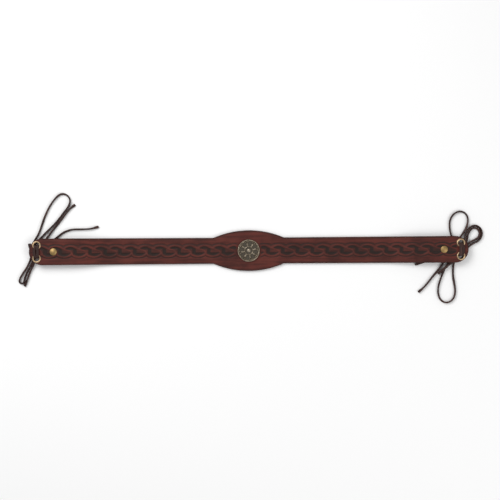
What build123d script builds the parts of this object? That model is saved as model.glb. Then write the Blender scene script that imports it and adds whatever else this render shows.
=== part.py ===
from build123d import *
import math
import os

# Breastplate strap for horse tack: a lined leather strap with an oval centre and a concho,
# and at each end a rivet, two eyelets and two tie laces knotted behind the strap.
# Millimetres. X runs along the strap, Y across it, Z out of its face. The origin is under
# the middle of the oval, on the surface that the strap lies on.

# ---- driving dimensions ----
strap_length = 740.0        # tip to tip, on the centreline
end_width = 45.0            # across the rounded ends
shoulder_width = 43.7       # across the strap where it meets the oval
oval_length = 118.8         # shoulder to shoulder
oval_height = 68.7          # across the middle of the oval
shoulder_round = 9.0        # radius in the corner between strap and oval
front_thickness = 3.5       # tooled front leather
lining_thickness = 1.5      # smooth lining leather

concho_diameter = 38.0
concho_plate = 2.0          # thickness of the disc inside the rim
concho_rim_height = 3.2
concho_rim_width = 2.2
concho_rim_bevel = 0.8
concho_hub_radius = 3.4
concho_hub_foot = 1.5       # slope from the hub down to the disc
concho_hub_height = 3.6     # middle of the hub above the back of the disc
concho_boss_diameter = 6.4  # tapped boss behind the disc
screw_diameter = 4.0
screw_head_diameter = 10.6
screw_head_height = 1.2

eyelet_bore = 9.2           # clear hole through an eyelet
eyelet_wall = 0.4           # sheet that the eyelet is drawn from
eyelet_flange = 14.5        # outside diameter of the rolled face
eyelet_roll = 1.2           # height of the rolled face above the leather
eyelet_lip = 0.5            # height of the set lip behind the washer
eyelet_lip_width = 1.2
eyelet_spacing = 22.2       # centre to centre across the strap
eyelet_from_tip = 13.0      # centre of an eyelet to the strap's tip
washer_thickness = 0.6

rivet_cap_diameter = 12.0
rivet_cap_height = 2.2
rivet_socket = 1.3          # depth of the stem's socket in the cap
rivet_back_height = 1.0
rivet_stem_diameter = 3.2
rivet_from_eyelets = 28.2   # centre of a rivet to the line through the eyelets

lace_diameter = 3.4         # round equivalent of the flat thong
lace_spacing = 3.8          # between two laces side by side
lace_wrap = 4.0             # bend of a lace over an eyelet's face
knot_height = 8.0
knot_width = 12.0           # across the strap
knot_length = 11.7          # along the strap

# ---- clearances ----
hole_clearance = 0.1        # radial, leather hole round a metal barrel or stem
thread_clearance = 0.03     # radial, stem in its socket and screw in its tapped boss
turning_clearance = 0.08    # radial, concho boss in its leather hole
turning_gap = 0.3           # between faces that turn past each other
knot_gap = 0.4              # knot to the set lip above it
floor_gap = 0.1             # lace to the surface below it
lane_gap = 0.15             # knot to the plane between the two knots

# ---- heights and places that follow ----
strap_thickness = front_thickness + lining_thickness
end_lift = knot_height + knot_gap + eyelet_lip + washer_thickness
lift_run = 100.0            # length of the rise, along the strap
rivet_flat = 14.0           # level leather inboard of a rivet's centre
end_face = end_lift + strap_thickness
tip_x = strap_length / 2
eyelet_x = tip_x - eyelet_from_tip
eyelet_y = eyelet_spacing / 2
rivet_x = eyelet_x - rivet_from_eyelets
lift_end = rivet_x - rivet_flat
lift_start = lift_end - lift_run
lift_radius = (lift_run**2 + end_lift**2) / (4 * end_lift)
lift_angle = math.asin(lift_run / 2 / lift_radius)
barrel_radius = eyelet_bore / 2 + eyelet_wall
sides = {"left": -1, "right": 1}
rows = {"upper": 1, "lower": -1}
eyelet_places = [(side * eyelet_x, row * eyelet_y, 0) for side in (-1, 1) for row in (1, -1)]
rivet_places = [(side * rivet_x, 0, 0) for side in (-1, 1)]

os.makedirs("parts", exist_ok=True)


def save(piece, name):
    """Label a finished piece and write it as a STEP file of its own."""
    piece.part.label = name
    export_step(piece.part, f"parts/{name}.step")


def upright(x, y, z=0):
    """A plane standing on this point, its x along the strap and its y upwards."""
    return Plane(origin=(x, y, z), x_dir=(1, 0, 0), z_dir=(0, -1, 0))


def leather_edge(level):
    """Half of the side line of a leather surface, this far above the back of the lining."""
    low = (lift_start, level)
    middle = (
        (lift_start + lift_end) / 2 - level * math.sin(lift_angle),
        end_lift / 2 + level * math.cos(lift_angle),
    )
    high = (lift_end, end_lift + level)
    Line((0, level), low)
    TangentArc(low, middle, tangent=(1, 0))
    TangentArc(high, middle, tangent=(-1, 0))
    Line(high, (tip_x + 1, end_lift + level))


def leather_layer(bottom, top):
    """A level of leather between two heights, wider and longer than the strap."""
    with BuildSketch(Plane.XZ) as layer:
        with BuildLine():
            leather_edge(bottom)
            leather_edge(top)
            Line((0, bottom), (0, top))
            Line((tip_x + 1, end_lift + bottom), (tip_x + 1, end_lift + top))
        make_face()
        mirror(about=Plane.YZ)
    return layer.sketch


def outline():
    """The strap seen from its face: rounded ends, a slight taper and the oval centre."""
    end_x = tip_x - end_width / 2
    end_y = end_width / 2
    shoulder_x = oval_length / 2
    shoulder_y = shoulder_width / 2
    with BuildSketch() as face:
        with BuildLine():
            Line((shoulder_x, shoulder_y), (end_x, end_y))
            ThreePointArc((end_x, end_y), (tip_x, 0), (end_x, -end_y))
            Line((end_x, -end_y), (shoulder_x, -shoulder_y))
            ThreePointArc((shoulder_x, -shoulder_y), (0, -oval_height / 2), (-shoulder_x, -shoulder_y))
            Line((-shoulder_x, -shoulder_y), (-end_x, -end_y))
            ThreePointArc((-end_x, -end_y), (-tip_x, 0), (-end_x, end_y))
            Line((-end_x, end_y), (-shoulder_x, shoulder_y))
            ThreePointArc((-shoulder_x, shoulder_y), (0, oval_height / 2), (shoulder_x, shoulder_y))
        make_face()
        corners = [v for v in face.vertices() if abs(v.X) < shoulder_x + 1]
        fillet(corners, radius=shoulder_round)
    return face.sketch


def leather(bottom, top):
    """One leather of the strap, cut to the outline and punched for eyelets and rivets."""
    with BuildPart() as sheet:
        extrude(leather_layer(bottom, top), amount=oval_height, both=True)
        extrude(outline(), amount=end_face + 1, mode=Mode.INTERSECT)
        with Locations(*eyelet_places):
            Hole(barrel_radius + hole_clearance)
        with Locations(*rivet_places):
            Hole(rivet_stem_diameter / 2 + hole_clearance)
    return sheet


# ---- leather ----
lining = leather(0, lining_thickness)
save(lining, "lining")

screw_head_room = screw_head_height + 2 * turning_gap
with BuildPart() as front_strap:
    add(leather(lining_thickness, strap_thickness).part)
    with BuildSketch(Plane.XY.offset(lining_thickness)):
        Circle(screw_head_diameter / 2 + turning_gap)
    extrude(amount=screw_head_room, mode=Mode.SUBTRACT)
    with BuildSketch(Plane.XY.offset(lining_thickness)):
        Circle(concho_boss_diameter / 2 + turning_clearance)
    extrude(amount=front_thickness, mode=Mode.SUBTRACT)
save(front_strap, "front_strap")

# ---- concho and its screw, which turn together ----
concho_back = strap_thickness + turning_gap
boss_end = lining_thickness + turning_gap + screw_head_height
concho_radius = concho_diameter / 2
screw_end = concho_back + concho_plate / 2
with BuildPart() as concho:
    with BuildSketch(Plane.XZ):
        with BuildLine():
            Polyline(
                (screw_diameter / 2 + thread_clearance, boss_end),
                (concho_boss_diameter / 2, boss_end),
                (concho_boss_diameter / 2, concho_back),
                (concho_radius, concho_back),
            )
            Polyline(
                (concho_radius, concho_back),
                (concho_radius, concho_back + concho_rim_height - concho_rim_bevel),
                (concho_radius - concho_rim_bevel, concho_back + concho_rim_height),
                (concho_radius - concho_rim_width, concho_back + concho_plate),
                (concho_hub_radius + concho_hub_foot, concho_back + concho_plate),
                (concho_hub_radius, concho_back + concho_rim_height),
                (0, concho_back + concho_hub_height),
                (0, screw_end),
                (screw_diameter / 2 + thread_clearance, screw_end),
                (screw_diameter / 2 + thread_clearance, boss_end),
            )
        make_face()
    revolve(axis=Axis.Z)
save(concho, "concho")

with BuildPart() as concho_screw:
    with BuildSketch(Plane.XY.offset(lining_thickness + turning_gap)):
        Circle(screw_head_diameter / 2)
    extrude(amount=screw_head_height)
    with BuildSketch(Plane.XY.offset(lining_thickness + turning_gap)):
        Circle(screw_diameter / 2)
    extrude(amount=screw_end - thread_clearance - lining_thickness - turning_gap)
    with BuildSketch(Plane.XY.offset(lining_thickness + turning_gap)):
        Rectangle(screw_head_diameter + 1, 1.2)
    extrude(amount=screw_head_height / 2, mode=Mode.SUBTRACT)
save(concho_screw, "concho_screw")


# ---- rivets and eyelets at both ends ----
def rivet_cap(x):
    """The domed front cap with a socket for the stem."""
    socket = rivet_stem_diameter / 2 + thread_clearance
    radius = rivet_cap_diameter / 2
    with BuildPart() as cap:
        with BuildSketch(upright(x, 0, end_face)):
            with BuildLine():
                Line((socket, 0), (radius - 0.5, 0))
                ThreePointArc((radius - 0.5, 0), (radius, 0.5), (radius - 0.5, 1.0))
                TangentArc((0, rivet_cap_height), (radius - 0.5, 1.0), tangent=(1, 0))
                Line((0, rivet_cap_height), (0, rivet_socket))
                Line((0, rivet_socket), (socket, rivet_socket))
                Line((socket, rivet_socket), (socket, 0))
            make_face()
        revolve(axis=Axis((x, 0, 0), (0, 0, 1)))
    return cap


def rivet_post(x):
    """The flat back cap and the stem that is pressed into the front cap."""
    radius = rivet_cap_diameter / 2
    stem = rivet_stem_diameter / 2
    stem_top = strap_thickness + rivet_socket - thread_clearance
    with BuildPart() as post:
        with BuildSketch(upright(x, 0, end_lift)):
            with BuildLine():
                Polyline((0, stem_top), (stem, stem_top), (stem, 0), (radius, 0), (radius, -0.4))
                TangentArc((0, -rivet_back_height), (radius, -0.4), tangent=(1, 0))
                Line((0, -rivet_back_height), (0, stem_top))
            make_face()
        revolve(axis=Axis((x, 0, 0), (0, 0, 1)))
    return post


def eyelet(x, y):
    """A drawn eyelet: rolled face, barrel through both leathers, lip set over the washer."""
    bore = eyelet_bore / 2
    flange = eyelet_flange / 2
    lip_top = end_lift - washer_thickness
    lip_end = lip_top - eyelet_lip
    with BuildPart() as ring:
        with BuildSketch(upright(x, y)):
            with BuildLine():
                Line((bore, lip_end), (bore, end_face + eyelet_wall))
                ThreePointArc(
                    (bore, end_face + eyelet_wall),
                    ((bore + flange) / 2, end_face + eyelet_roll),
                    (flange, end_face + eyelet_wall / 2),
                )
                Polyline(
                    (flange, end_face + eyelet_wall / 2),
                    (flange, end_face),
                    (barrel_radius, end_face),
                    (barrel_radius, lip_top),
                    (barrel_radius + eyelet_lip_width, lip_top),
                    (barrel_radius + eyelet_lip_width, lip_end + eyelet_lip / 2),
                    (barrel_radius, lip_end),
                    (bore, lip_end),
                )
            make_face()
        revolve(axis=Axis((x, y, 0), (0, 0, 1)))
    return ring


def eyelet_washer(x, y):
    """The flat ring behind the lining that the eyelet is set against."""
    with BuildPart() as ring:
        with BuildSketch(Plane.XY.offset(end_lift - washer_thickness)):
            with Locations((x, y)):
                Circle(eyelet_flange / 2)
                Circle(barrel_radius + hole_clearance, mode=Mode.SUBTRACT)
        extrude(amount=washer_thickness)
    return ring


for side_name, side in sides.items():
    save(rivet_cap(side * rivet_x), f"{side_name}_rivet_cap")
    save(rivet_post(side * rivet_x), f"{side_name}_rivet_post")
    for row_name, row in rows.items():
        place = (side * eyelet_x, row * eyelet_y)
        save(eyelet(*place), f"{side_name}_{row_name}_eyelet")
        save(eyelet_washer(*place), f"{side_name}_{row_name}_eyelet_washer")

# ---- laces ----
# Each end has two laces. Each goes through both eyelets, as a bar across the face, and is
# knotted behind the strap between them. A route is a list of x, y, z from the point on the
# floor midway between that end's eyelets. It starts inside its knot.
lace_radius = lace_diameter / 2
low = lace_radius + floor_gap                 # a lace lying on the surface
over = low + lace_diameter + 2 * floor_gap    # a lace lying across another

loops_and_tails = {
    "left_outer_loop_upper": [
        (-9.3, 3.0, low), (-9.8, 11.5, low), (-4.2, 20.5, low), (2.4, 31.0, low),
        (7.3, 44.0, low), (12.4, 59.5, low), (20.0, 75.5, low), (28.5, 88.6, low),
        (39.0, 98.3, low), (50.1, 96.9, low), (56.4, 87.6, low), (53.2, 77.0, low),
        (45.0, 66.8, low), (35.5, 53.9, low), (24.0, 41.8, low), (13.5, 31.6, low),
        (4.7, 23.0, low), (-2.2, 16.0, low), (-5.8, 9.5, low), (-5.5, 3.0, low),
    ],
    "left_outer_loop_lower": [
        (-9.9, -2.5, low), (-11.2, -10.0, low), (-14.5, -18.6, low), (-19.6, -28.2, low),
        (-25.5, -36.6, low), (-29.8, -44.0, low), (-31.2, -49.4, low), (-30.1, -51.9, low),
        (-27.8, -53.3, low), (-25.1, -53.0, low), (-23.2, -51.0, low), (-22.5, -46.6, low),
        (-20.2, -39.4, low), (-15.6, -30.2, low), (-10.8, -21.2, low), (-7.2, -12.4, low),
        (-6.0, -3.0, low),
    ],
    "left_outer_tail": [
        (-5.8, -3.0, over), (-5.2, -10.5, over), (-5.8, -18.0, over - 0.6), (-9.0, -26.0, low + 1.2),
        (-13.6, -35.6, low), (-17.4, -46.6, low), (-22.4, -58.0, low),
    ],
    "left_inner_tail_upper": [
        (6.2, 3.0, low), (6.8, 10.3, low), (11.4, 18.4, low), (18.0, 26.2, low),
        (26.0, 36.4, low), (34.7, 47.0, low), (42.8, 57.2, low), (50.2, 67.3, low),
        (56.6, 74.0, low), (64.0, 79.6, low),
    ],
    "left_inner_tail_lower": [
        (10.0, 3.0, low), (11.8, 9.8, low), (17.0, 15.2, low), (24.4, 18.9, low),
        (32.5, 23.8, low), (40.6, 30.6, low), (50.2, 35.4, low), (61.5, 38.0, low),
        (74.6, 37.7, low), (87.5, 38.3, low), (97.0, 40.0, low), (103.6, 42.0, low),
    ],
    "right_inner_loop_upper": [
        (-9.7, 3.7, low), (-10.5, 10.6, low), (-13.2, 17.8, low), (-15.6, 26.2, low),
        (-17.2, 35.6, low), (-17.4, 45.4, low), (-14.6, 54.4, low), (-7.8, 61.8, low),
        (1.7, 64.6, low), (10.3, 60.6, low), (14.2, 51.8, low), (13.0, 42.0, low),
        (9.4, 33.0, low), (4.0, 24.8, low), (-1.8, 18.2, low), (-5.6, 11.4, low),
        (-6.0, 3.7, low),
    ],
    "right_inner_loop_lower": [
        (-6.0, -3.7, low), (-6.6, -10.8, low), (-9.2, -18.4, low), (-11.2, -27.0, low),
        (-12.3, -37.0, low), (-11.9, -47.6, low), (-9.9, -58.6, low), (-8.3, -70.0, low),
        (-9.8, -80.6, low), (-16.2, -88.6, low), (-25.6, -90.6, low), (-33.7, -85.4, low),
        (-37.5, -75.6, low), (-37.4, -64.0, low), (-34.2, -52.8, low), (-30.0, -42.2, low),
        (-25.8, -32.0, low), (-20.2, -23.4, low), (-14.6, -16.2, low), (-10.8, -10.4, low),
        (-9.7, -4.3, low),
    ],
    "right_inner_tail_long": [
        (-8.8, -1.6, low), (-17.2, -2.6, low), (-22.6, -9.6, low), (-26.2, -19.2, low),
        (-32.2, -28.8, low), (-39.6, -37.8, low), (-47.3, -46.8, low), (-55.0, -56.8, low),
        (-62.6, -65.4, low), (-71.0, -72.2, low),
    ],
    "right_inner_tail_under": [
        (-8.8, 1.9, low), (-17.6, 1.4, low), (-26.4, -3.6, low), (-35.8, -10.6, low),
        (-47.2, -16.4, low), (-61.0, -21.6, low), (-76.2, -25.4, low),
    ],
    "right_outer_loop_wide": [
        (5.4, 3.0, low), (5.6, 10.6, low), (7.2, 18.4, low), (10.6, 26.8, low),
        (15.8, 36.6, low), (24.3, 40.6, low), (33.0, 37.4, low), (37.6, 29.2, low),
        (36.4, 20.0, low), (30.6, 13.2, low), (22.8, 9.8, low), (15.8, 5.2, low),
        (9.8, -1.4, low),
    ],
    "right_outer_loop_narrow": [
        (9.4, 3.0, over), (9.8, 9.6, over), (11.0, 17.0, over - 0.8), (13.6, 24.6, low + 0.8),
        (17.4, 31.6, low), (21.2, 35.2, low), (26.2, 36.0, low), (31.2, 33.2, low),
        (34.0, 27.2, low), (32.4, 21.2, low), (27.8, 17.0, low), (21.4, 14.2, low),
        (15.0, 10.6, low), (9.8, 4.6, low),
    ],
    "right_outer_tail_short": [
        (8.0, -3.0, over), (7.4, -10.0, over), (3.0, -15.6, over), (-4.2, -18.6, over),
        (-11.8, -20.8, over), (-19.2, -25.4, over), (-25.8, -31.2, over), (-31.6, -36.4, over - 1.4),
        (-37.4, -41.4, low + 0.6),
    ],
}


def bar_route(lane):
    """Out of the knot, up one eyelet, over both rolled faces and down the other eyelet."""
    stand = eyelet_y - lace_radius
    turn = lace_wrap * math.tan(math.radians(22.5)) / 0.9 * math.sqrt(2)
    top = end_face + eyelet_roll + knot_gap + lace_radius
    bottom = low + lace_radius
    inside = stand - 2 * turn - 0.9
    half = [
        (lane, inside, bottom),
        (lane, stand - turn, bottom),
        (lane, stand, bottom + turn),
        (lane, stand, top - turn),
        (lane, stand - turn, top),
    ]
    return half + [(x, -y, z) for x, y, z in reversed(half)]


def tube(route, side):
    """A lace: straight runs joined by the largest arcs that they allow."""
    points = [Vector(side * eyelet_x + x, y, z) for x, y, z in route]
    runs = [end - start for start, end in zip(points, points[1:])]
    radii = []
    for before, after in zip(runs, runs[1:]):
        half_turn = math.radians(before.get_angle(after)) / 2
        radii.append(0.45 * min(before.length, after.length) / math.tan(half_turn))
    with BuildPart() as lace:
        with BuildLine() as line:
            FilletPolyline(*points, radius=radii)
        path = line.wire()
        with BuildSketch(Plane(origin=path @ 0, z_dir=path % 0)):
            Circle(lace_radius)
        sweep(path=path)
    length = path.length
    full = math.pi * lace_radius**2 * length
    tightest = sorted(round(radius, 1) for radius in radii)[:4]
    longest = max(run.length for run in runs)
    print(f"  {length:6.1f} mm, volume/section*length {lace.part.volume / full:.4f},"
          f" radii from {tightest}, longest run {longest:.1f}")
    return lace


def knot(side, outer):
    """The outer shape of a lace's knot, lying under the strap between the eyelets."""
    near = lane_gap if outer else -lane_gap - knot_length
    start = side * eyelet_x + (near if side > 0 else -near - knot_length)
    with BuildPart() as lump:
        with BuildSketch():
            with Locations((start + knot_length / 2, 0)):
                RectangleRounded(knot_length, knot_width, knot_width / 4)
        extrude(amount=knot_height)
        fillet(lump.edges().filter_by(Plane.XY), radius=knot_height / 4)
    return lump


def knot_with_short_end(side, corners):
    """An outer knot whose lace has one short end, lying flat beside it."""
    with BuildPart() as lump:
        add(knot(side, outer=True).part)
        with BuildSketch(Plane.XY.offset(floor_gap)):
            with BuildLine():
                Polyline(*[(side * eyelet_x + x, y) for x, y in corners], close=True)
            make_face()
        extrude(amount=lace_diameter)
    return lump


for name, route in loops_and_tails.items():
    print(name)
    save(tube(route, sides[name.split("_")[0]]), name)

for side_name, side in sides.items():
    for place_name, lane in {"inner": -lace_spacing / 2, "outer": lace_spacing / 2}.items():
        print(f"{side_name}_{place_name}_bar")
        save(tube(bar_route(side * lane), side), f"{side_name}_{place_name}_bar")

for side_name, side in sides.items():
    save(knot(side, outer=False), f"{side_name}_inner_knot")

# On the left the short end spreads and shows past the strap's tip. On the right it stays
# under the strap.
left_short_end = [
    (-8.0, 2.0), (-11.2, 1.4), (-14.6, 7.6), (-16.4, 11.6), (-14.6, 14.4), (-11.0, 14.6), (-11.4, 9.6),
]
right_short_end = [(7.0, -2.0), (10.6, -2.0), (10.0, -9.0), (8.4, -13.6), (4.4, -12.6), (6.6, -8.6)]
save(knot_with_short_end(-1, left_short_end), "left_outer_knot")
save(knot_with_short_end(1, right_short_end), "right_outer_knot")
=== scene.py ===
"""Looks of a tooled leather breastplate strap: leather, concho, hardware and tie laces.

Everything is in metres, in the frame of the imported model: X along the strap, Y across it and
Z out of its tooled face.
"""
import math

import bpy
import numpy as np
from bpy.props import FloatProperty, FloatVectorProperty, IntProperty, PointerProperty
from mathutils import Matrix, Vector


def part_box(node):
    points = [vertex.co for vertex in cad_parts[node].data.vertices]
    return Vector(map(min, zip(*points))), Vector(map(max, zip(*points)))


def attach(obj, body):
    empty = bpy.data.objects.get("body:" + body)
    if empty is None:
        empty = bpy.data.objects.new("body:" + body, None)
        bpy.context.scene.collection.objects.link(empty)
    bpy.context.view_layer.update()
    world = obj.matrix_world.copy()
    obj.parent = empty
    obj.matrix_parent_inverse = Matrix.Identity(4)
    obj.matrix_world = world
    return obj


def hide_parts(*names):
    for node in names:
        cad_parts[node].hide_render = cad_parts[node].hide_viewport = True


bl_info = {
    "name": "Tooled Breastplate Strap",
    "version": (1, 0, 0),
    "blender": (4, 5, 0),
    "location": "View3D > Sidebar > Breastplate",
    "description": "Builds the leather, metal and laces of a tooled breastplate strap",
    "category": "Object",
}

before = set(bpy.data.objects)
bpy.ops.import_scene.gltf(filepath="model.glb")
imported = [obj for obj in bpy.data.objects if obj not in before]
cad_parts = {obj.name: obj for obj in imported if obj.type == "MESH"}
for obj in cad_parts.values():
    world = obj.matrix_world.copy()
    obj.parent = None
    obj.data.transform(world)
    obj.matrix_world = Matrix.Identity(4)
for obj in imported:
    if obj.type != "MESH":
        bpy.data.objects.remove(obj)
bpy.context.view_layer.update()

MM = 0.001
FRONT_LOW, FRONT_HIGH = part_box("front_strap")
LINING_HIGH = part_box("lining")[1]
CONCHO_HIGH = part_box("concho")[1]
SIDES = {"left": -1, "right": 1}
ROWS = {"upper": 1, "lower": -1}


def middle(node):
    """The middle of a CAD node's box."""
    low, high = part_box(node)
    return (low + high) / 2


EYELET = middle("right_upper_eyelet")
RIVET = middle("right_rivet_cap")
TIP_X = FRONT_HIGH.x
LEATHER_THICKNESS = FRONT_HIGH.z - LINING_HIGH.z
FACE_Z = FRONT_LOW.z + LEATHER_THICKNESS      # tooled face where the strap lies flat
END_LIFT = FRONT_HIGH.z - FACE_Z

# ---- the strap's outline and rise, as in the CAD ----
END_ROUND = 22.5 * MM
SHOULDER = (59.4 * MM, 21.85 * MM)
SHOULDER_BLEND = 0.4 * MM
RIVET_FLAT = 14 * MM
LIFT_RUN = 100 * MM
EYELET_HOLE = 5.4 * MM      # radius, just clear of an eyelet's barrel
SCREW_HOLE = 5.7 * MM       # radius, clear of the screw's head and hidden by the concho
BEAD_RING = 17.9 * MM       # radius of the ring of beads
BEAD_SINK = 0.35 * MM       # middle of a bead below the top of the rim
KNOT_OFFSET = 5.9           # millimetres from the line through the eyelets to a knot


class LeatherSettings(bpy.types.PropertyGroup):
    pitch: FloatProperty(name="Pitch", description="Length of one repeat of the tooling",
                         default=25 * MM, subtype="DISTANCE", unit="LENGTH")
    recess_depth: FloatProperty(name="Recess", description="Depth of the stamped recesses",
                                default=0.7 * MM, subtype="DISTANCE", unit="LENGTH")
    strand_height: FloatProperty(name="Strand", description="Height of the raised strands",
                                 default=0.4 * MM, subtype="DISTANCE", unit="LENGTH")
    crease_depth: FloatProperty(name="Crease", description="Depth of the line along the edge",
                                default=0.35 * MM, subtype="DISTANCE", unit="LENGTH")
    color: FloatVectorProperty(name="Leather", description="Oiled face of the leather",
                               default=(0.060, 0.0118, 0.0080), subtype="COLOR", size=3)
    worn_color: FloatVectorProperty(name="Worn", description="Rubbed tops of the tooling",
                                    default=(0.096, 0.037, 0.029), subtype="COLOR", size=3)
    # Painted shade: the recesses, the edge crease and the field inside the border are darkened
    # towards this colour; the edges also take it as their dye.
    recess_shade_and_edge_dye_color: FloatVectorProperty(name="Antique", description="Dark dye left in recesses",
                                      default=(0.014, 0.0085, 0.0065), subtype="COLOR", size=3)
    lining_color: FloatVectorProperty(name="Lining", description="Smooth lining leather",
                                      default=(0.075, 0.026, 0.015), subtype="COLOR", size=3)


class HardwareSettings(bpy.types.PropertyGroup):
    bead_count: IntProperty(name="Beads", description="Beads round the concho's rim",
                            default=48, min=8)
    bead_radius: FloatProperty(name="Bead", description="Radius of a rim bead",
                               default=0.6 * MM, subtype="DISTANCE", unit="LENGTH")
    concho_color: FloatVectorProperty(name="Concho", description="Antiqued alloy",
                                      default=(0.39, 0.33, 0.25), subtype="COLOR", size=3)
    tarnish_color: FloatVectorProperty(name="Tarnish", description="Dark recesses of metal",
                                       default=(0.035, 0.028, 0.018), subtype="COLOR", size=3)
    eyelet_color: FloatVectorProperty(name="Eyelet", description="Antique brass",
                                      default=(0.56, 0.40, 0.24), subtype="COLOR", size=3)
    rivet_color: FloatVectorProperty(name="Rivet", description="Brass rivet caps",
                                     default=(0.36, 0.24, 0.10), subtype="COLOR", size=3)
    screw_color: FloatVectorProperty(name="Screw", description="Steel screw",
                                     default=(0.45, 0.45, 0.46), subtype="COLOR", size=3)


class LaceSettings(bpy.types.PropertyGroup):
    width: FloatProperty(name="Width", description="Width of the flat thong",
                         default=4.4 * MM, subtype="DISTANCE", unit="LENGTH")
    thickness: FloatProperty(name="Thickness", description="Thickness of the thong",
                             default=2.85 * MM, subtype="DISTANCE", unit="LENGTH")
    color: FloatVectorProperty(name="Lace", description="Dark latigo leather",
                               default=(0.028, 0.0118, 0.0094), subtype="COLOR", size=3)
    # Painted highlight: lighter reddish streaks along the thong.
    highlight_streak_color: FloatVectorProperty(name="Streaks", description="Rubbed reddish streaks",
                                      default=(0.072, 0.033, 0.027), subtype="COLOR", size=3)


class StageSettings(bpy.types.PropertyGroup):
    lens: FloatProperty(name="Lens", description="Focal length in millimetres", default=100.0)
    view_width: FloatProperty(name="View", description="Width seen by the camera",
                              default=0.8425, subtype="DISTANCE", unit="LENGTH")
    turn: FloatProperty(name="Turn", description="The strap's slant in the view",
                        default=math.radians(-0.37), subtype="ANGLE", unit="ROTATION")
    floor_color: FloatVectorProperty(name="Floor", description="Pale floor",
                                     default=(0.93, 0.93, 0.93), subtype="COLOR", size=3)


# ---- materials ----
class Number:
    """A value flowing through a material. Its operators add Math nodes."""

    def __init__(self, finish, socket):
        self.finish = finish
        self.socket = socket

    def math(self, operation, first, second):
        settings = {"operation": operation}
        return self.finish.node("ShaderNodeMath", settings, {0: first, 1: second})

    def __add__(self, other):
        return self.math("ADD", self, other)

    def __sub__(self, other):
        return self.math("SUBTRACT", self, other)

    def __rsub__(self, other):
        return self.math("SUBTRACT", other, self)

    def __mul__(self, other):
        return self.math("MULTIPLY", self, other)

    __radd__ = __add__
    __rmul__ = __mul__


class Finish:
    """One material, built node by node round its Principled shader."""

    def __init__(self, name, **sockets):
        self.material = bpy.data.materials.new(name)
        self.material.use_nodes = True
        self.tree = self.material.node_tree
        self.shader = next(n for n in self.tree.nodes if n.type == "BSDF_PRINCIPLED")
        self.surface(**sockets)

    def feed(self, socket, value):
        if isinstance(value, Number):
            self.tree.links.new(value.socket, socket)
        else:
            socket.default_value = value

    def node(self, kind, settings, inputs, output=0):
        made = self.tree.nodes.new(kind)
        for key, value in settings.items():
            setattr(made, key, value)
        for key, value in inputs.items():
            self.feed(made.inputs[key], value)
        return Number(self, made.outputs[output])

    def surface(self, **sockets):
        for name, value in sockets.items():
            self.feed(self.shader.inputs[name.replace("_", " ")], value)

    def place(self):
        return self.node("ShaderNodeTexCoord", {}, {}, "Object")

    def attribute(self, name, output="Fac"):
        return self.node("ShaderNodeAttribute", {"attribute_name": name}, {}, output)

    def noise(self, place, scale, detail=3.0):
        return self.node("ShaderNodeTexNoise", {},
                         {"Vector": place, "Scale": scale, "Detail": detail})

    def cells(self, place, scale):
        return self.node("ShaderNodeTexVoronoi", {}, {"Vector": place, "Scale": scale})

    def stretch(self, place, scale):
        return self.node("ShaderNodeMapping", {}, {"Vector": place, "Scale": scale})

    def between(self, value, low, high):
        """0 below low, 1 above high, and smooth between."""
        return self.node("ShaderNodeMapRange", {"interpolation_type": "SMOOTHSTEP"},
                         {"Value": value, "From Min": low, "From Max": high})

    def blend(self, factor, first, second):
        """One colour fading into another."""
        return self.node("ShaderNodeMix", {"data_type": "RGBA"},
                         {0: factor, 6: first, 7: second}, 2)

    def bump(self, height, distance):
        return self.node("ShaderNodeBump", {},
                         {"Height": height, "Distance": distance, "Strength": 1.0})


def solid(color, alpha=1.0):
    return (*color, alpha)


def tooled_leather():
    settings = bpy.context.scene.breastplate_leather
    finish = Finish("tooled leather", Specular_IOR_Level=0.22)
    place = finish.place()
    clouds = finish.noise(place, 34.0, 5.0)
    drag = finish.noise(finish.stretch(place, (16.0, 230.0, 230.0)), 1.0, 4.0)
    flecks = finish.noise(place, 260.0, 3.0)
    pores = finish.cells(place, 1100.0)
    level = finish.attribute("level")
    dye = finish.attribute("dye")
    worn = finish.between(level + 0.5 * flecks, 0.72, 1.15)
    # Painted shade: where the level is low (recesses, edge crease, field inside the border) the
    # face fades to the dark recess colour.
    deep = finish.between(level + 0.25 * flecks, 0.62, 0.24)
    face = finish.blend(finish.between(0.45 * clouds + 0.55 * drag, 0.34, 0.66),
                        solid([0.72 * c for c in settings.color]),
                        solid([1.75 * c for c in settings.color]))
    face = finish.blend(0.75 * worn, face, solid(settings.worn_color))
    face = finish.blend(0.93 * deep, face, solid(settings.recess_shade_and_edge_dye_color))
    face = finish.blend(dye, face, solid(settings.recess_shade_and_edge_dye_color))
    finish.surface(
        Base_Color=face,
        Roughness=0.50 + 0.22 * flecks - 0.10 * worn,
        Normal=finish.bump(0.6 * pores + 0.8 * flecks + 0.6 * drag, 0.14 * MM),
    )
    return finish.material


def lining_leather():
    settings = bpy.context.scene.breastplate_leather
    finish = Finish("lining leather", Specular_IOR_Level=0.22)
    place = finish.place()
    clouds = finish.noise(place, 28.0, 5.0)
    pores = finish.cells(place, 1400.0)
    fibres = finish.noise(finish.stretch(place, (60.0, 60.0, 2600.0)), 1.0, 3.0)
    tone = finish.between(clouds + 0.3 * fibres, 0.45, 0.85)
    finish.surface(
        Base_Color=finish.blend(tone, solid([0.62 * c for c in settings.lining_color]),
                                solid(settings.lining_color)),
        Roughness=0.58 + 0.18 * fibres,
        Normal=finish.bump(pores + 0.5 * fibres, 0.10 * MM),
    )
    return finish.material


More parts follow.
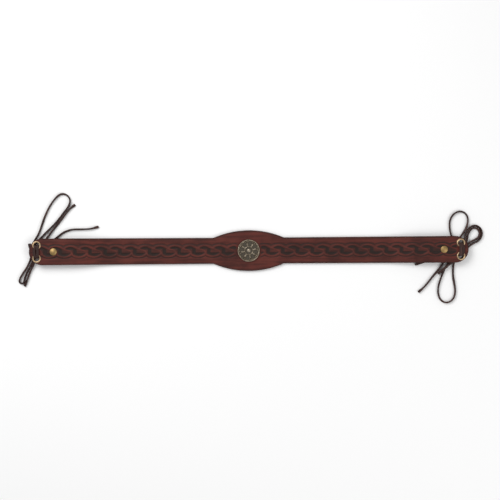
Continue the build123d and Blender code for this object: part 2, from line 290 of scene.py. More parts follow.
def lace_leather():
    settings = bpy.context.scene.breastplate_lace
    finish = Finish("lace leather", Specular_IOR_Level=0.25)
    along = finish.attribute("thong", "Vector")
    streaks = finish.noise(finish.stretch(along, (24.0, 500.0, 500.0)), 1.0, 3.0)
    clouds = finish.noise(along, 36.0, 3.0)
    pores = finish.cells(along, 1500.0)
    # Painted highlight: lighter reddish streaks along the thong, a little glossier too.
    highlight_streak = finish.between(0.65 * streaks + 0.35 * clouds, 0.46, 0.66)
    finish.surface(
        Base_Color=finish.blend(highlight_streak, solid(settings.color), solid(settings.highlight_streak_color)),
        Roughness=0.62 - 0.16 * highlight_streak,
        Normal=finish.bump(streaks + 0.4 * pores, 0.20 * MM),
    )
    return finish.material


def worn_metal(name, color, roughness, tarnish):
    """Antiqued metal: tarnish in clouds and fine scratches."""
    settings = bpy.context.scene.breastplate_hardware
    finish = Finish(name)
    place = finish.place()
    clouds = finish.noise(place, 170.0, 4.0)
    scratches = finish.noise(finish.stretch(place, (500.0, 2600.0, 900.0)), 1.0, 2.0)
    dull = tarnish * finish.between(clouds, 0.42, 0.72)
    finish.surface(
        Base_Color=finish.blend(dull, solid(color), solid(settings.tarnish_color)),
        Metallic=1.0 - 0.5 * dull,
        Roughness=roughness + 0.25 * dull + 0.10 * scratches,
        Normal=finish.bump(scratches + clouds, 0.03 * MM),
    )
    return finish


def concho_metal():
    """Antiqued alloy that keeps its tarnish in the recesses of the relief."""
    settings = bpy.context.scene.breastplate_hardware
    finish = worn_metal("concho metal", settings.concho_color, 0.34, 0.35)
    place = finish.place()
    flecks = finish.noise(place, 700.0, 3.0)
    deep = finish.between(finish.attribute("level") + 0.35 * flecks, 0.62, 0.32)
    bright = finish.shader.inputs["Base Color"].links[0].from_socket
    finish.surface(
        Base_Color=finish.blend(0.92 * deep, Number(finish, bright), solid(settings.tarnish_color)),
        Metallic=1.0 - 0.55 * deep,
        Roughness=0.34 + 0.28 * deep,
    )
    return finish.material


# ---- meshes ----
def piece(name, points, faces, material, smooth_angle=45.0, **attributes):
    """A mesh object with its place in its mesh, and numbers or vectors kept on its points."""
    mesh = bpy.data.meshes.new(name)
    mesh.from_pydata(points.tolist(), [], faces)
    for key, values in attributes.items():
        values = np.asarray(values, float)
        vector = values.ndim == 2
        kept = mesh.attributes.new(key, "FLOAT_VECTOR" if vector else "FLOAT", "POINT")
        kept.data.foreach_set("vector" if vector else "value", values.ravel())
    mesh.materials.append(material)
    mesh.shade_smooth()
    mesh.set_sharp_from_angle(angle=math.radians(smooth_angle))
    mesh.validate()
    made = bpy.data.objects.new(name, mesh)
    bpy.context.scene.collection.objects.link(made)
    return made


def smoothstep(value, low, high):
    t = np.clip((value - low) / (high - low), 0, 1)
    return t * t * (3 - 2 * t)


def ridge(distance, width):
    """1 on a line, fading to 0 at this distance from it."""
    return np.exp(-((distance / width) ** 2))


def slab(value, low, high, soft):
    """1 between two values, with soft sides."""
    above = smoothstep(value, low - soft, low + soft)
    return above * (1 - smoothstep(value, high - soft, high + soft))


def half_width(x):
    """Half the strap's width at each place along it, as far as the rounded ends."""
    x = np.abs(x)
    shoulder_x, shoulder_y = SHOULDER
    run = TIP_X - END_ROUND - shoulder_x
    straight = shoulder_y + (END_ROUND - shoulder_y) * (x - shoulder_x) / run
    rise = FRONT_HIGH.y - shoulder_y
    radius = (shoulder_x**2 + rise**2) / (2 * rise)
    oval = FRONT_HIGH.y - radius + np.sqrt(np.maximum(radius**2 - x**2, 0))
    blended = (straight + oval + np.hypot(straight - oval, SHOULDER_BLEND)) / 2
    past = x - TIP_X + END_ROUND
    end = np.sqrt(np.maximum(END_ROUND**2 - past**2, 0))
    return np.where(past > 0, end, blended)


def strap_rise(x):
    """Height of the strap's back above the floor, from two arcs at each end."""
    lift_end = RIVET.x - RIVET_FLAT
    along = np.clip(np.abs(x) - (lift_end - LIFT_RUN), 0, LIFT_RUN)
    radius = (LIFT_RUN**2 + END_LIFT**2) / (4 * END_LIFT)
    near = radius - np.sqrt(radius**2 - np.minimum(along, LIFT_RUN / 2) ** 2)
    far = radius - np.sqrt(radius**2 - np.minimum(LIFT_RUN - along, LIFT_RUN / 2) ** 2)
    return np.where(along < LIFT_RUN / 2, near, END_LIFT - far)


# One strand of the tooling in millimetres: over its upper arc, down across the middle and
# under its lower arc. The next strand starts a pitch further on.
STRAND = [
    (-12.0, 4.8), (-8.0, 7.8), (-3.0, 9.3), (1.0, 9.5), (6.0, 8.4), (11.0, 6.0), (16.0, 3.6),
    (21.5, 1.9), (25.2, 0.2), (26.8, -3.2), (28.6, -6.6), (33.0, -9.0), (38.8, -9.6),
    (44.2, -8.5), (48.2, -6.4), (51.0, -4.4),
]


def from_strand(x, y):
    """Distance to the nearest part of one strand."""
    nearest = np.full(x.shape, 1.0)
    for (ax, ay), (bx, by) in zip(STRAND, STRAND[1:]):
        run_x, run_y = (bx - ax) * MM, (by - ay) * MM
        share = ((x - ax * MM) * run_x + (y - ay * MM) * run_y) / (run_x**2 + run_y**2)
        share = np.clip(share, 0, 1)
        away = np.hypot(x - ax * MM - share * run_x, y - ay * MM - share * run_y)
        nearest = np.minimum(nearest, away)
    return nearest


def lens(x, y, middle_x, middle_y, half_length, half_height, bow):
    """1 inside a long bowed hollow that is pointed at both ends."""
    across = y - middle_y - bow * (x - middle_x) ** 2
    reach = 1 - ((x - middle_x) / half_length) ** 2
    return smoothstep(half_height * reach - np.abs(across), -0.5 * MM, 0.5 * MM)


def tooling(x, y, pitch):
    """The stamped border: interlaced strands with S-shaped recesses between them.

    Returns how raised and how recessed the leather is, and how far inside the border it is.
    """
    start = 0.5 * MM
    step = (x - start + pitch / 2) % pitch - pitch / 2
    strands = np.minimum.reduce([from_strand(step + k * pitch, y) for k in (0, 1, 2)])
    raised = ridge(strands, 0.85 * MM)
    lower_step = (x - start - 0.56 * pitch + pitch / 2) % pitch - pitch / 2
    upper_line = 8.6 * MM + 3.6 * MM * np.sqrt(1 - (step / (0.52 * pitch)) ** 2)
    lower_line = -6.9 * MM - 4.4 * MM * np.sqrt(1 - (lower_step / (0.52 * pitch)) ** 2)
    outline = np.maximum(ridge(y - upper_line, 0.9 * MM), ridge(y - lower_line, 0.9 * MM))
    inside = smoothstep(upper_line - y, 0, 1 * MM) * smoothstep(y - lower_line, 0, 1 * MM)
    recess = np.maximum.reduce([
        lens(step, y, -0.8 * MM, 5.4 * MM, 9.0 * MM, 2.0 * MM, -22.0),
        lens(step, y, 14.6 * MM, -5.2 * MM, 9.5 * MM, 2.0 * MM, 22.0),
        lens(step + pitch, y, 14.6 * MM, -5.2 * MM, 9.5 * MM, 2.0 * MM, 22.0),
        slab(step, 4.6 * MM, 9.6 * MM, 0.8 * MM) * slab(y, -4.6 * MM, 4.0 * MM, 0.9 * MM),
    ])
    recess = np.maximum(recess * (1 - 0.8 * raised), 0.85 * outline)
    return raised, recess, inside


def strap_surface(x, y):
    """Height of the tooled face above the plain leather, how raised it is with painted shade in its
    recesses, and its edge dye.
    """
    settings = bpy.context.scene.breastplate_leather
    slope = np.gradient(half_width(x[:, 0]), x[:, 0])[:, None]
    end_x = TIP_X - END_ROUND
    edge = np.where(np.abs(x) > end_x,
                    END_ROUND - np.hypot(np.abs(x) - end_x, y),
                    (half_width(x) - np.abs(y)) / np.hypot(1, slope))
    raised, recess, inside = tooling(x, y, settings.pitch)
    concho_radius = CONCHO_HIGH.x
    from_middle = np.hypot(x, y)
    used = smoothstep(from_middle, concho_radius + 1 * MM, concho_radius + 4 * MM)
    used *= 1 - smoothstep(np.abs(x), EYELET.x - 9 * MM, EYELET.x - 5 * MM)
    dark_end = smoothstep(np.abs(x), RIVET.x - 45 * MM, RIVET.x + 5 * MM)
    raised, recess, inside = raised * used, recess * used, inside * used
    crease = ridge(edge - 2.4 * MM, 0.75 * MM)
    rounding = 0.9 * MM * (1 - np.sqrt(1 - (1 - np.clip(edge / (1.6 * MM), 0, 1)) ** 2))
    height = (settings.strand_height * raised - settings.recess_depth * recess
              - settings.crease_depth * crease - rounding)
    # The level carries painted shade: lower in the recesses, the edge crease and the field inside
    # the border, more so towards the ends.
    level = 0.5 + 0.36 * raised - (0.17 + 0.10 * dark_end) * inside - 0.36 * recess - 0.20 * crease
    dye = 0.66 * (1 - smoothstep(edge, 0.4 * MM, 2.0 * MM))
    return height, level, dye


def strap_grid():
    """Places along and across the strap, closer together at its edges and round its ends."""
    straight = np.linspace(-TIP_X + END_ROUND, TIP_X - END_ROUND, 776)
    turn = np.radians(np.linspace(0, 88, 26))[1:]
    end = TIP_X - END_ROUND + END_ROUND * np.sin(turn)
    x = np.concatenate([-end[::-1], straight, end])
    edge = 1 - np.array([0, 0.25, 0.7, 1.2, 1.8, 2.4, 3.0, 3.7]) * MM / END_ROUND
    across = np.concatenate([-edge, np.linspace(-edge[-1], edge[-1], 42)[1:-1], edge[::-1]])
    x = np.repeat(x[:, None], len(across), axis=1)
    return x, across[None, :] * half_width(x)


def strap_faces(kept):
    """Top, bottom and wall faces of a slab over the kept cells of a grid."""
    cells_x, cells_y = kept.shape
    row = cells_y + 1
    under = (cells_x + 1) * row
    faces = []
    for i, j in zip(*np.nonzero(kept)):
        a = int(i * row + j)
        ring = [a, a + row, a + row + 1, a + 1]
        faces.append(ring)
        faces.append([under + k for k in reversed(ring)])
        beside = [(i, j - 1), (i + 1, j), (i, j + 1), (i - 1, j)]
        for k, (m, n) in enumerate(beside):
            if 0 <= m < cells_x and 0 <= n < cells_y and kept[m, n]:
                continue
            start, end = ring[k], ring[(k + 1) % 4]
            faces.append([end, start, under + start, under + end])
    return faces


def tooled_strap(material):
    """The front leather: outline, rise, rounded edges, tooling, and holes for eyelets and screw."""
    x, y = strap_grid()
    height, level, dye = strap_surface(x, y)
    kept = np.ones((x.shape[0] - 1, x.shape[1] - 1), bool)
    holes = [(side * EYELET.x, row * EYELET.y, EYELET_HOLE)
             for side in SIDES.values() for row in ROWS.values()]
    holes.append((0, 0, SCREW_HOLE))
    for hole_x, hole_y, hole in holes:
        dx, dy = x - hole_x, y - hole_y
        middle_distance = np.hypot(dx[:-1, :-1] + dx[1:, 1:], dy[:-1, :-1] + dy[1:, 1:]) / 2
        cut = middle_distance < hole
        kept &= ~cut
        rim = np.zeros(x.shape, bool)
        for shift_x in (0, 1):
            for shift_y in (0, 1):
                rim[shift_x:shift_x + cut.shape[0], shift_y:shift_y + cut.shape[1]] |= cut
        scale = np.where(rim, hole / np.maximum(np.hypot(dx, dy), 1e-9), 1)
        x, y = hole_x + dx * scale, hole_y + dy * scale
    rise = strap_rise(x)
    top = np.stack([x, y, rise + FACE_Z + height], axis=-1).reshape(-1, 3)
    bottom = np.stack([x, y, rise + FRONT_LOW.z], axis=-1).reshape(-1, 3)
    points = np.concatenate([top, bottom])
    levels = np.concatenate([level.ravel(), np.full(level.size, 0.4)])
    dyes = np.concatenate([dye.ravel(), np.ones(dye.size)])
    faces = strap_faces(kept)
    used = np.unique(np.concatenate([np.asarray(f) for f in faces]))
    renumber = np.zeros(len(points), int)
    renumber[used] = np.arange(len(used))
    faces = [[int(renumber[k]) for k in face] for face in faces]
    return piece("tooled_strap", points[used], faces, material, 50.0,
                 level=levels[used], dye=dyes[used])


def concho_relief(radius, angle):
    """Height of the rosette above its disc: rim, ring, hub and eight forked spokes."""
    spoke = (angle - math.radians(12) + math.pi / 8) % (math.pi / 4) - math.pi / 8
    along, beside = radius * np.cos(spoke), np.abs(radius * np.sin(spoke))
    stem = slab(beside, -1, 0.9 * MM, 0.25 * MM) * slab(along, 6.5 * MM, 12.8 * MM, 0.3 * MM)
    fork = (ridge(beside - 0.62 * (along - 11.4 * MM), 0.65 * MM)
            * slab(along, 11.6 * MM, 15.6 * MM, 0.3 * MM))
    bar = slab(beside, -1, 1.9 * MM, 0.3 * MM) * ridge(along - 10.3 * MM, 0.6 * MM)
    ring = ridge(radius - 6.9 * MM, 0.8 * MM)
    hub = np.sqrt(np.maximum(1 - (radius / (3.3 * MM)) ** 2, 0))
    notch = 0.25 * (1 + np.cos(36 * angle)) / 2
    rim = (1 - notch) * slab(radius, 17.0 * MM, 18.6 * MM, 0.4 * MM)
    petal = ridge(radius - 15.9 * MM + 0.5 * MM * np.cos(8 * spoke), 0.45 * MM)
    return np.maximum.reduce([0.8 * stem, 0.8 * fork, 0.7 * bar, 0.8 * ring,
                              0.45 * hub, 0.55 * petal, rim])


def concho_disc(material):
    """The concho's disc with its relief, closed below."""
    outer = CONCHO_HIGH.x
    rings, steps = 56, 256
    high = CONCHO_HIGH.z
    back = FACE_Z + 0.3 * MM
    radius = np.linspace(0.4 * MM, outer, rings)[:, None]
    angle = np.linspace(0, 2 * math.pi, steps, endpoint=False)[None, :]
    radius, angle = np.broadcast_arrays(radius, angle)
    relief = concho_relief(radius, angle)
    base = back + 1.5 * MM
    z = base + (high - 0.2 * MM - base) * relief
    z = z - 1.1 * MM * smoothstep(radius, outer - 0.8 * MM, outer)
    x, y = radius * np.cos(angle), radius * np.sin(angle)
    top = np.stack([x, y, z], axis=-1).reshape(-1, 3)
    edge = np.stack([x[-1], y[-1], np.full(steps, back)], axis=-1)
    points = np.concatenate([top, edge])
    faces = []
    for i in range(rings - 1):
        for j in range(steps):
            k = (j + 1) % steps
            faces.append([i * steps + j, (i + 1) * steps + j, (i + 1) * steps + k, i * steps + k])
    last = (rings - 1) * steps
    for j in range(steps):
        k = (j + 1) % steps
        faces.append([last + j, last + steps + j, last + steps + k, last + k])
    faces.append(list(range(steps)))
    faces.append([last + steps + j for j in reversed(range(steps))])
    level = np.concatenate([relief.ravel(), np.full(steps, 0.5)])
    return piece("concho_disc", points, faces, material, 60.0, level=level)


def beads(material):
    """Beads round the concho's rim, by Geometry Nodes, turned into a plain mesh."""
    settings = bpy.context.scene.breastplate_hardware
    tree = bpy.data.node_groups.new("rim beads", "GeometryNodeTree")
    tree.interface.new_socket("Geometry", in_out="INPUT", socket_type="NodeSocketGeometry")
    tree.interface.new_socket("Geometry", in_out="OUTPUT", socket_type="NodeSocketGeometry")
    names = {}
    for name, kind in (("Count", "Int"), ("Ring Radius", "Float"),
                       ("Bead Radius", "Float"), ("Height", "Float")):
        socket = tree.interface.new_socket(name, in_out="INPUT", socket_type=f"NodeSocket{kind}")
        names[name] = socket.identifier

    def add(kind, **links):
        made = tree.nodes.new(kind)
        for key, value in links.items():
            tree.links.new(value, made.inputs[key.replace("_", " ")])
        return made

    start = add("NodeGroupInput")
    circle = add("GeometryNodeMeshCircle", Vertices=start.outputs["Count"],
                 Radius=start.outputs["Ring Radius"])
    lift = add("ShaderNodeCombineXYZ", Z=start.outputs["Height"])
    lifted = add("GeometryNodeSetPosition", Geometry=circle.outputs[0], Offset=lift.outputs[0])
    bead = add("GeometryNodeMeshIcoSphere", Radius=start.outputs["Bead Radius"])
    bead.inputs["Subdivisions"].default_value = 3
    placed = add("GeometryNodeInstanceOnPoints", Points=lifted.outputs[0], Instance=bead.outputs[0])
    real = add("GeometryNodeRealizeInstances", Geometry=placed.outputs[0])
    smooth = add("GeometryNodeSetShadeSmooth", Geometry=real.outputs[0])
    painted = add("GeometryNodeSetMaterial", Geometry=smooth.outputs[0])
    painted.inputs["Material"].default_value = material
    add("NodeGroupOutput", Geometry=painted.outputs[0])
    holder = bpy.data.objects.new("rim_beads", bpy.data.meshes.new("rim_beads"))
    bpy.context.scene.collection.objects.link(holder)
    modifier = holder.modifiers.new("beads", "NODES")
    modifier.node_group = tree
    modifier[names["Count"]] = settings.bead_count
    modifier[names["Ring Radius"]] = BEAD_RING
    modifier[names["Bead Radius"]] = settings.bead_radius
    modifier[names["Height"]] = CONCHO_HIGH.z - BEAD_SINK
    shapes = bpy.context.evaluated_depsgraph_get()
    mesh = bpy.data.meshes.new_from_object(holder.evaluated_get(shapes), depsgraph=shapes)
    holder.modifiers.clear()
    holder.data = mesh
    return holder


# ---- laces: routes from the floor midway between an end's eyelets, in millimetres ----
LOW = 2.3        # middle of a thong that stands on its edge
OVER = 6.1       # middle of a thong lying flat over another

ROUTES = {
    "left_outer_loop_upper": [
        (-9.3, 3.0, LOW), (-9.8, 11.5, LOW), (-4.2, 20.5, LOW), (2.4, 31.0, LOW),
        (7.3, 44.0, LOW), (12.4, 59.5, LOW), (20.0, 75.5, LOW), (28.5, 88.6, LOW),
        (39.0, 98.3, LOW), (50.1, 96.9, LOW), (56.4, 87.6, LOW), (53.2, 77.0, LOW),
        (45.0, 66.8, LOW), (35.5, 53.9, LOW), (24.0, 41.8, LOW), (13.5, 31.6, LOW),
        (4.7, 23.0, LOW), (-2.2, 16.0, LOW), (-5.8, 9.5, LOW), (-5.5, 3.0, LOW),
    ],
    "left_outer_loop_lower": [
        (-9.9, -2.5, LOW), (-11.2, -10.0, LOW), (-14.5, -18.6, LOW), (-19.6, -28.2, LOW),
        (-25.5, -36.6, LOW), (-29.8, -44.0, LOW), (-31.2, -49.4, LOW), (-30.1, -51.9, LOW),
        (-27.8, -53.3, LOW), (-25.1, -53.0, LOW), (-23.2, -51.0, LOW), (-22.5, -46.6, LOW),
        (-20.2, -39.4, LOW), (-15.6, -30.2, LOW), (-10.8, -21.2, LOW), (-7.2, -12.4, LOW),
        (-6.0, -3.0, LOW),
    ],
    "left_outer_tail": [
        (-5.8, -3.0, OVER), (-5.2, -10.5, OVER), (-5.8, -18.0, OVER), (-9.0, -26.0, LOW + 1.2),
        (-13.6, -35.6, LOW), (-17.4, -46.6, LOW), (-22.4, -58.0, LOW),
    ],
    "left_inner_tail_upper": [
        (6.2, 3.0, LOW), (6.8, 10.3, LOW), (11.4, 18.4, LOW), (18.0, 26.2, LOW),
        (26.0, 36.4, LOW), (34.7, 47.0, LOW), (42.8, 57.2, LOW), (50.2, 67.3, LOW),
        (56.6, 74.0, LOW), (64.0, 79.6, LOW),
    ],
    "left_inner_tail_lower": [
        (10.0, 3.0, LOW), (11.8, 9.8, LOW), (17.0, 15.2, LOW), (24.4, 18.9, LOW),
        (32.5, 23.8, LOW), (40.6, 30.6, LOW), (50.2, 35.4, LOW), (61.5, 38.0, LOW),
        (74.6, 37.7, LOW), (87.5, 38.3, LOW), (97.0, 40.0, LOW), (103.6, 42.0, LOW),
    ],
    "right_inner_loop_upper": [
        (-9.7, 3.7, LOW), (-10.5, 10.6, LOW), (-13.2, 17.8, LOW), (-15.6, 26.2, LOW),
        (-17.2, 35.6, LOW), (-17.4, 45.4, LOW), (-14.6, 54.4, LOW), (-7.8, 61.8, LOW),
        (1.7, 64.6, LOW), (10.3, 60.6, LOW), (14.2, 51.8, LOW), (13.0, 42.0, LOW),
        (9.4, 33.0, LOW), (4.0, 24.8, LOW), (-1.8, 18.2, LOW), (-5.6, 11.4, LOW),
        (-6.0, 3.7, LOW),
    ],
    "right_inner_loop_lower": [
        (-6.0, -3.7, LOW), (-6.6, -10.8, LOW), (-9.2, -18.4, LOW), (-11.2, -27.0, LOW),
        (-12.3, -37.0, LOW), (-11.9, -47.6, LOW), (-9.9, -58.6, LOW), (-8.3, -70.0, LOW),
        (-9.8, -80.6, LOW), (-16.2, -88.6, LOW), (-25.6, -90.6, LOW), (-33.7, -85.4, LOW),
        (-37.5, -75.6, LOW), (-37.4, -64.0, LOW), (-34.2, -52.8, LOW), (-30.0, -42.2, LOW),
        (-25.8, -32.0, LOW), (-20.2, -23.4, LOW), (-14.6, -16.2, LOW), (-10.8, -10.4, LOW),
        (-9.7, -4.3, LOW),
    ],
    "right_inner_tail_long": [
        (-8.8, -1.6, LOW), (-17.2, -2.6, LOW), (-22.6, -9.6, LOW), (-26.2, -19.2, LOW),
        (-32.2, -28.8, LOW), (-39.6, -37.8, LOW), (-47.3, -46.8, LOW), (-55.0, -56.8, LOW),
        (-62.6, -65.4, LOW), (-71.0, -72.2, LOW),
    ],
    "right_inner_tail_under": [
        (-8.8, 1.9, LOW), (-17.6, 1.4, LOW), (-26.4, -3.6, LOW), (-35.8, -10.6, LOW),
        (-47.2, -16.4, LOW), (-61.0, -21.6, LOW), (-76.2, -25.4, LOW),
    ],
    "right_outer_loop_wide": [
        (5.4, 3.0, LOW), (5.6, 10.6, LOW), (7.2, 18.4, LOW), (10.6, 26.8, LOW),
        (15.8, 36.6, LOW), (24.3, 40.6, LOW), (33.0, 37.4, LOW), (37.6, 29.2, LOW),
        (36.4, 20.0, LOW), (30.6, 13.2, LOW), (22.8, 9.8, LOW), (15.8, 5.2, LOW),
        (9.8, -1.4, LOW),
    ],
    "right_outer_loop_narrow": [
        (9.4, 3.0, OVER), (9.8, 9.6, OVER), (11.0, 17.0, OVER - 0.8), (13.6, 24.6, LOW + 0.8),
        (17.4, 31.6, LOW), (21.2, 35.2, LOW), (26.2, 36.0, LOW), (31.2, 33.2, LOW),
        (34.0, 27.2, LOW), (32.4, 21.2, LOW), (27.8, 17.0, LOW), (21.4, 14.2, LOW),
        (15.0, 10.6, LOW), (9.8, 4.6, LOW),
    ],
    "right_outer_tail_short": [
        (8.0, -3.0, OVER), (7.4, -10.0, OVER), (3.0, -15.6, OVER), (-4.2, -18.6, OVER),
        (-11.8, -20.8, OVER), (-19.2, -25.4, OVER), (-25.8, -31.2, OVER),
        (-31.6, -36.4, OVER - 1.4), (-37.4, -41.4, LOW + 0.6),
    ],
}
# Middle of each bar between its eyelets, along the strap from the line through them.
BAR_BOWS = {
    ("left", "outer"): -3.6, ("left", "inner"): 2.1,
    ("right", "inner"): -0.9, ("right", "outer"): 3.8,
}


def centreline(points):
    """Closely spaced points of the smooth spline that has these control points, in metres."""
    curve = bpy.data.curves.new("route", "CURVE")
    curve.dimensions = "3D"
    spline = curve.splines.new("NURBS")
    spline.points.add(len(points) - 1)
    for kept, (x, y, z) in zip(spline.points, points):
        kept.co = (x, y, z, 1)
    spline.order_u = 3
    spline.use_endpoint_u = True
    holder = bpy.data.objects.new("route", curve)
    bpy.context.scene.collection.objects.link(holder)
    shapes = bpy.context.evaluated_depsgraph_get()
    mesh = bpy.data.meshes.new_from_object(holder.evaluated_get(shapes), depsgraph=shapes)
    line = np.array([v.co for v in mesh.vertices])
    bpy.data.objects.remove(holder)
    bpy.data.curves.remove(curve)
    bpy.data.meshes.remove(mesh)
    return line


def thong(name, line, material, side, width, thickness, roll, closed=False):
    """A flat thong along a line. Roll turns its width from lying flat (0) to on edge."""
    if closed:
        tangent = np.roll(line, -1, 0) - np.roll(line, 1, 0)
    else:
        tangent = np.gradient(line, axis=0)
    tangent /= np.linalg.norm(tangent, axis=1)[:, None]
    side = np.cross((0, 0, 1), tangent) if side is None else np.broadcast_to(side, line.shape)
    side = side - tangent * (side * tangent).sum(1)[:, None]
    side = side / np.maximum(np.linalg.norm(side, axis=1), 1e-6)[:, None]
    up = np.cross(tangent, side)
    roll = np.broadcast_to(roll, len(line))[:, None]
    across = np.cos(roll) * side + np.sin(roll) * up
    through = np.cross(tangent, across)
    count = 16
    around = np.linspace(0, 2 * math.pi, count, endpoint=False)
    corner = 0.55
    flat = np.sign(np.cos(around)) * np.abs(np.cos(around)) ** corner
    thick = np.sign(np.sin(around)) * np.abs(np.sin(around)) ** corner
    width = np.broadcast_to(width, len(line))[:, None] / 2
    thickness = np.broadcast_to(thickness, len(line))[:, None] / 2
    rings = (line[:, None, :] + (width * flat)[:, :, None] * across[:, None, :]
             + (thickness * thick)[:, :, None] * through[:, None, :])
    lift = np.maximum(0.1 * MM - rings[:, :, 2].min(axis=1), 0)
    rings[:, :, 2] += lift[:, None]
    distance = np.concatenate([[0], np.cumsum(np.linalg.norm(np.diff(line, axis=0), axis=1))])
    grain = np.stack([np.repeat(distance, count),
                      (width * flat).ravel(), (thickness * thick).ravel()], axis=-1)
    grain[:, 1] += 0.05 * (sum(map(ord, name)) % 97)
    faces = []
    total = len(line)
    for i in range(total if closed else total - 1):
        here, there = i * count, (i + 1) % total * count
        for j in range(count):
            k = (j + 1) % count
            faces.append([here + j, here + k, there + k, there + j])
    if not closed:
        faces.append([j for j in reversed(range(count))])
        faces.append([(total - 1) * count + j for j in range(count)])
    return piece(name, rings.reshape(-1, 3), faces, material, 60.0, thong=grain)


def declare(made, node):
    """A lace piece hides its CAD tube and is attached to the strap."""
    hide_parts(node)
    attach(made, "strap")


def free_lace(name, route, material):
    """A loop or a tail: on edge where it lies, flat where it crosses over or ends."""
    settings = bpy.context.scene.breastplate_lace
    side = SIDES[name.split("_")[0]]
    line = centreline([(side * EYELET.x + x * MM, y * MM, z * MM) for x, y, z in route])
    tail = "tail" in name
    flat = smoothstep(line[:, 2], (LOW + 0.8) * MM, (OVER - 1.2) * MM)
    length = np.concatenate([[0], np.cumsum(np.linalg.norm(np.diff(line, axis=0), axis=1))])
    wander = 0.16 * np.sin(length / (11 * MM)) + 0.10 * np.sin(length / (4.7 * MM))
    roll = (math.radians(82) + wander) * (1 - flat)
    width = settings.width * (1 + 0.05 * np.sin(length / (7 * MM)))
    thickness = settings.thickness * (1 + 0.06 * np.sin(length / (5.3 * MM) + 1))
    if tail:
        left = length[-1] - length
        spread = 1 - smoothstep(left, 2 * MM, 13 * MM)
        roll = roll * (1 - 0.75 * spread)
        width = width * (0.72 + 0.28 * smoothstep(left, 0, 1.6 * MM))
        thickness = thickness * (1 - 0.35 * spread)
    made = thong(name.replace("_tail", "_end").replace("_loop", "_bow"), line, material, None,
                 width, thickness, roll)
    declare(made, name)


def lace_bar(end, lane, material):
    """A lace's crossing of the strap's face, from its knot up one eyelet and down the other."""
    settings = bpy.context.scene.breastplate_lace
    side = SIDES[end]
    node = f"{end}_{lane}_bar"
    middle_x = middle(node).x
    bow_x = side * EYELET.x + BAR_BOWS[end, lane] * MM
    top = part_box(node)[1].z - 1.5 * MM
    low, stand = 3.6 * MM, EYELET.y - 0.9 * MM
    half = [
        (middle_x, stand - 5.6 * MM, low), (middle_x, stand - 1.6 * MM, low),
        (middle_x, stand, low + 1.8 * MM),
        (middle_x, stand, top - 2.4 * MM), (middle_x, stand - 0.9 * MM, top - 0.2 * MM),
        ((middle_x + bow_x) / 2, stand - 3.8 * MM, top), (bow_x, stand - 7.0 * MM, top),
    ]
    line = centreline(half + [(x, -y, z) for x, y, z in reversed(half)])
    out = smoothstep(line[:, 2], 0.0135, top - 0.6 * MM)
    width = settings.width * (0.80 + 0.26 * out)
    thickness = settings.thickness * (1 - 0.2 * out)
    made = thong(f"{end}_{lane}_crossing", line, material, (1, 0, 0), width, thickness, 0.0)
    declare(made, node)


def lace_knot(end, lane, material):
    """A tight knot of the thong, as a rounded three-lobed wrap."""
    settings = bpy.context.scene.breastplate_lace
    node = f"{end}_{lane}_knot"
    inner = SIDES[end] * (EYELET.x + (-KNOT_OFFSET if lane == "inner" else KNOT_OFFSET) * MM)
    turn = np.linspace(0, 2 * math.pi, 120, endpoint=False)
    x = (np.sin(turn) + 2 * np.sin(2 * turn)) / 3 * 4.2 * MM
    y = (np.cos(turn) - 2 * np.cos(2 * turn)) / 3 * 4.6 * MM
    z = -np.sin(3 * turn) * 2.0 * MM
    line = np.stack([inner + x, y, 4.0 * MM + z], axis=-1)
    made = thong(f"{end}_{lane}_wraps", line, material, None, settings.width * 0.85,
                 settings.thickness, 0.35, closed=True)
    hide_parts(node)
    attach(made, "strap")


def short_end(name, points, material):
    """A short flat end of an outer lace beside its knot, spread at its tip."""
    side = SIDES[name.split("_")[0]]
    line = centreline([(side * EYELET.x + x * MM, y * MM, z * MM) for x, y, z in points])
    share = np.linspace(0, 1, len(line))
    width = (4.0 + 1.6 * share) * MM * (0.75 + 0.25 * smoothstep(1 - share, 0, 0.1))
    made = thong(name, line, material, None, width, (2.6 - 0.9 * share) * MM, 0.15)
    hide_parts(name.split("_")[0] + "_outer_knot")
    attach(made, "strap")


def paint(nodes, material):
    """Gives CAD nodes a finish through their own material slots."""
    for name in nodes:
        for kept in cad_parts[name].material_slots:
            kept.material = material


def named(ending):
    return [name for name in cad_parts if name.endswith(ending)]


# ---- operators ----
class BREASTPLATE_OT_leather(bpy.types.Operator):
    """Build the tooled front leather and finish the lining"""
    bl_idname = "breastplate.leather"
    bl_label = "Leather"

    def execute(self, context):
        strap = tooled_strap(tooled_leather())
        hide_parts("front_strap")
        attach(strap, "strap")
        paint(["lining"], lining_leather())
        return {"FINISHED"}


class BREASTPLATE_OT_concho(bpy.types.Operator):
    """Build the concho's disc, relief and rim beads"""
    bl_idname = "breastplate.concho"
    bl_label = "Concho"

    def execute(self, context):
        metal = concho_metal()
        disc = concho_disc(metal)
        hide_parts("concho")
        settings = context.scene.breastplate_hardware
        rim = beads(worn_metal("bead metal", settings.concho_color, 0.30, 0.5).material)
        for made in (disc, rim):
            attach(made, "concho")
        paint(["concho_screw"], worn_metal("screw steel", settings.screw_color, 0.3, 0.2).material)
        return {"FINISHED"}


class BREASTPLATE_OT_hardware(bpy.types.Operator):
    """Finish the eyelets, washers and rivets"""
    bl_idname = "breastplate.hardware"
    bl_label = "Eyelets and rivets"

    def execute(self, context):
        settings = context.scene.breastplate_hardware
        brass = worn_metal("eyelet brass", settings.eyelet_color, 0.36, 0.45).material
        paint(named("_eyelet") + named("_washer"), brass)
        bright = worn_metal("rivet brass", settings.rivet_color, 0.44, 0.30).material
        paint(named("_rivet_cap") + named("_rivet_post"), bright)
        return {"FINISHED"}


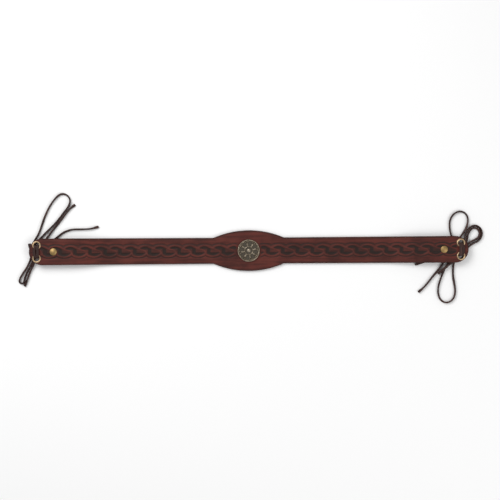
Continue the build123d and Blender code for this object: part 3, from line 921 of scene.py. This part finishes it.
class BREASTPLATE_OT_laces(bpy.types.Operator):
    """Build the laces' loops, tails, crossings and knots"""
    bl_idname = "breastplate.laces"
    bl_label = "Laces"

    def execute(self, context):
        leather = lace_leather()
        for name, route in ROUTES.items():
            free_lace(name, route, leather)
        for end in SIDES:
            for lane in ("inner", "outer"):
                lace_bar(end, lane, leather)
                lace_knot(end, lane, leather)
        short_end("left_short_end",
                  [(-9.0, 2.0, 1.6), (-11.6, 5.0, 1.6), (-13.2, 9.4, 1.5), (-13.9, 14.2, 1.4)],
                  leather)
        short_end("right_short_end",
                  [(8.6, -2.0, 1.6), (8.9, -7.0, 1.6), (6.9, -12.6, 1.4)], leather)
        return {"FINISHED"}


class BREASTPLATE_OT_stage(bpy.types.Operator):
    """Set the floor, the soft light and the camera above the strap"""
    bl_idname = "breastplate.stage"
    bl_label = "Stage"

    def execute(self, context):
        settings = context.scene.breastplate_stage
        # Plain colours: white paper stays white in the view
        context.scene.view_settings.view_transform = "Standard"
        size = 4.0
        corners = np.array([(-size, -size, 0), (size, -size, 0), (size, size, 0), (-size, size, 0)])
        finish = Finish("floor", Roughness=0.9)
        finish.surface(Base_Color=solid(settings.floor_color))
        floor = piece("floor", corners - (0, 0, 0.2 * MM), [[0, 1, 2, 3]], finish.material)
        world = bpy.data.worlds.new("soft room")
        world.use_nodes = True
        sky = world.node_tree.nodes["Background"]
        sky.inputs["Color"].default_value = (1, 1, 1, 1)
        sky.inputs["Strength"].default_value = 0.45
        context.scene.world = world
        for name, place, width, power in (
            ("key", (-0.9, 0.9, 1.6), 1.2, 26.0),
            ("fill", (1.1, -0.7, 1.5), 1.2, 12.0),
        ):
            lamp = bpy.data.lights.new(name, "AREA")
            lamp.size, lamp.energy = width, power
            light = bpy.data.objects.new(name, lamp)
            light.location = place
            light.rotation_euler = (-light.location).to_track_quat("-Z", "Y").to_euler()
            context.scene.collection.objects.link(light)
        lens = bpy.data.cameras.new("above")
        lens.lens = settings.lens
        lens.sensor_width = 36.0
        camera = bpy.data.objects.new("above", lens)
        distance = settings.view_width * settings.lens / lens.sensor_width
        camera.location = (2.1 * MM, 1.0 * MM, distance + 10 * MM)
        camera.rotation_euler = (0, 0, settings.turn)
        context.scene.collection.objects.link(camera)
        context.scene.camera = camera
        return {"FINISHED"}


class BREASTPLATE_PT_sidebar(bpy.types.Panel):
    bl_label = "Breastplate"
    bl_idname = "BREASTPLATE_PT_sidebar"
    bl_space_type = "VIEW_3D"
    bl_region_type = "UI"
    bl_category = "Breastplate"

    def draw(self, context):
        for title, operator, settings in PANEL_ROWS:
            group = getattr(context.scene, settings)
            box = self.layout.box()
            for key in group.bl_rna.properties.keys():
                if key not in ("rna_type", "name"):
                    box.prop(group, key)
            box.operator(operator, text=title)


PANEL_ROWS = [
    ("Leather", "breastplate.leather", "breastplate_leather"),
    ("Concho", "breastplate.concho", "breastplate_hardware"),
    ("Eyelets and rivets", "breastplate.hardware", "breastplate_hardware"),
    ("Laces", "breastplate.laces", "breastplate_lace"),
    ("Stage", "breastplate.stage", "breastplate_stage"),
]
SETTINGS = {
    "breastplate_leather": LeatherSettings,
    "breastplate_hardware": HardwareSettings,
    "breastplate_lace": LaceSettings,
    "breastplate_stage": StageSettings,
}
CLASSES = [
    *SETTINGS.values(), BREASTPLATE_OT_leather, BREASTPLATE_OT_concho, BREASTPLATE_OT_hardware,
    BREASTPLATE_OT_laces, BREASTPLATE_OT_stage, BREASTPLATE_PT_sidebar,
]


def register():
    for kind in CLASSES:
        bpy.utils.register_class(kind)
    for name, kind in SETTINGS.items():
        setattr(bpy.types.Scene, name, PointerProperty(type=kind))


def unregister():
    for name in SETTINGS:
        delattr(bpy.types.Scene, name)
    for kind in reversed(CLASSES):
        bpy.utils.unregister_class(kind)


def main():
    register()
    bpy.ops.breastplate.stage()
    bpy.ops.breastplate.laces()
    bpy.ops.breastplate.leather()
    bpy.ops.breastplate.concho()
    bpy.ops.breastplate.hardware()


if __name__ == "__main__":
    main()
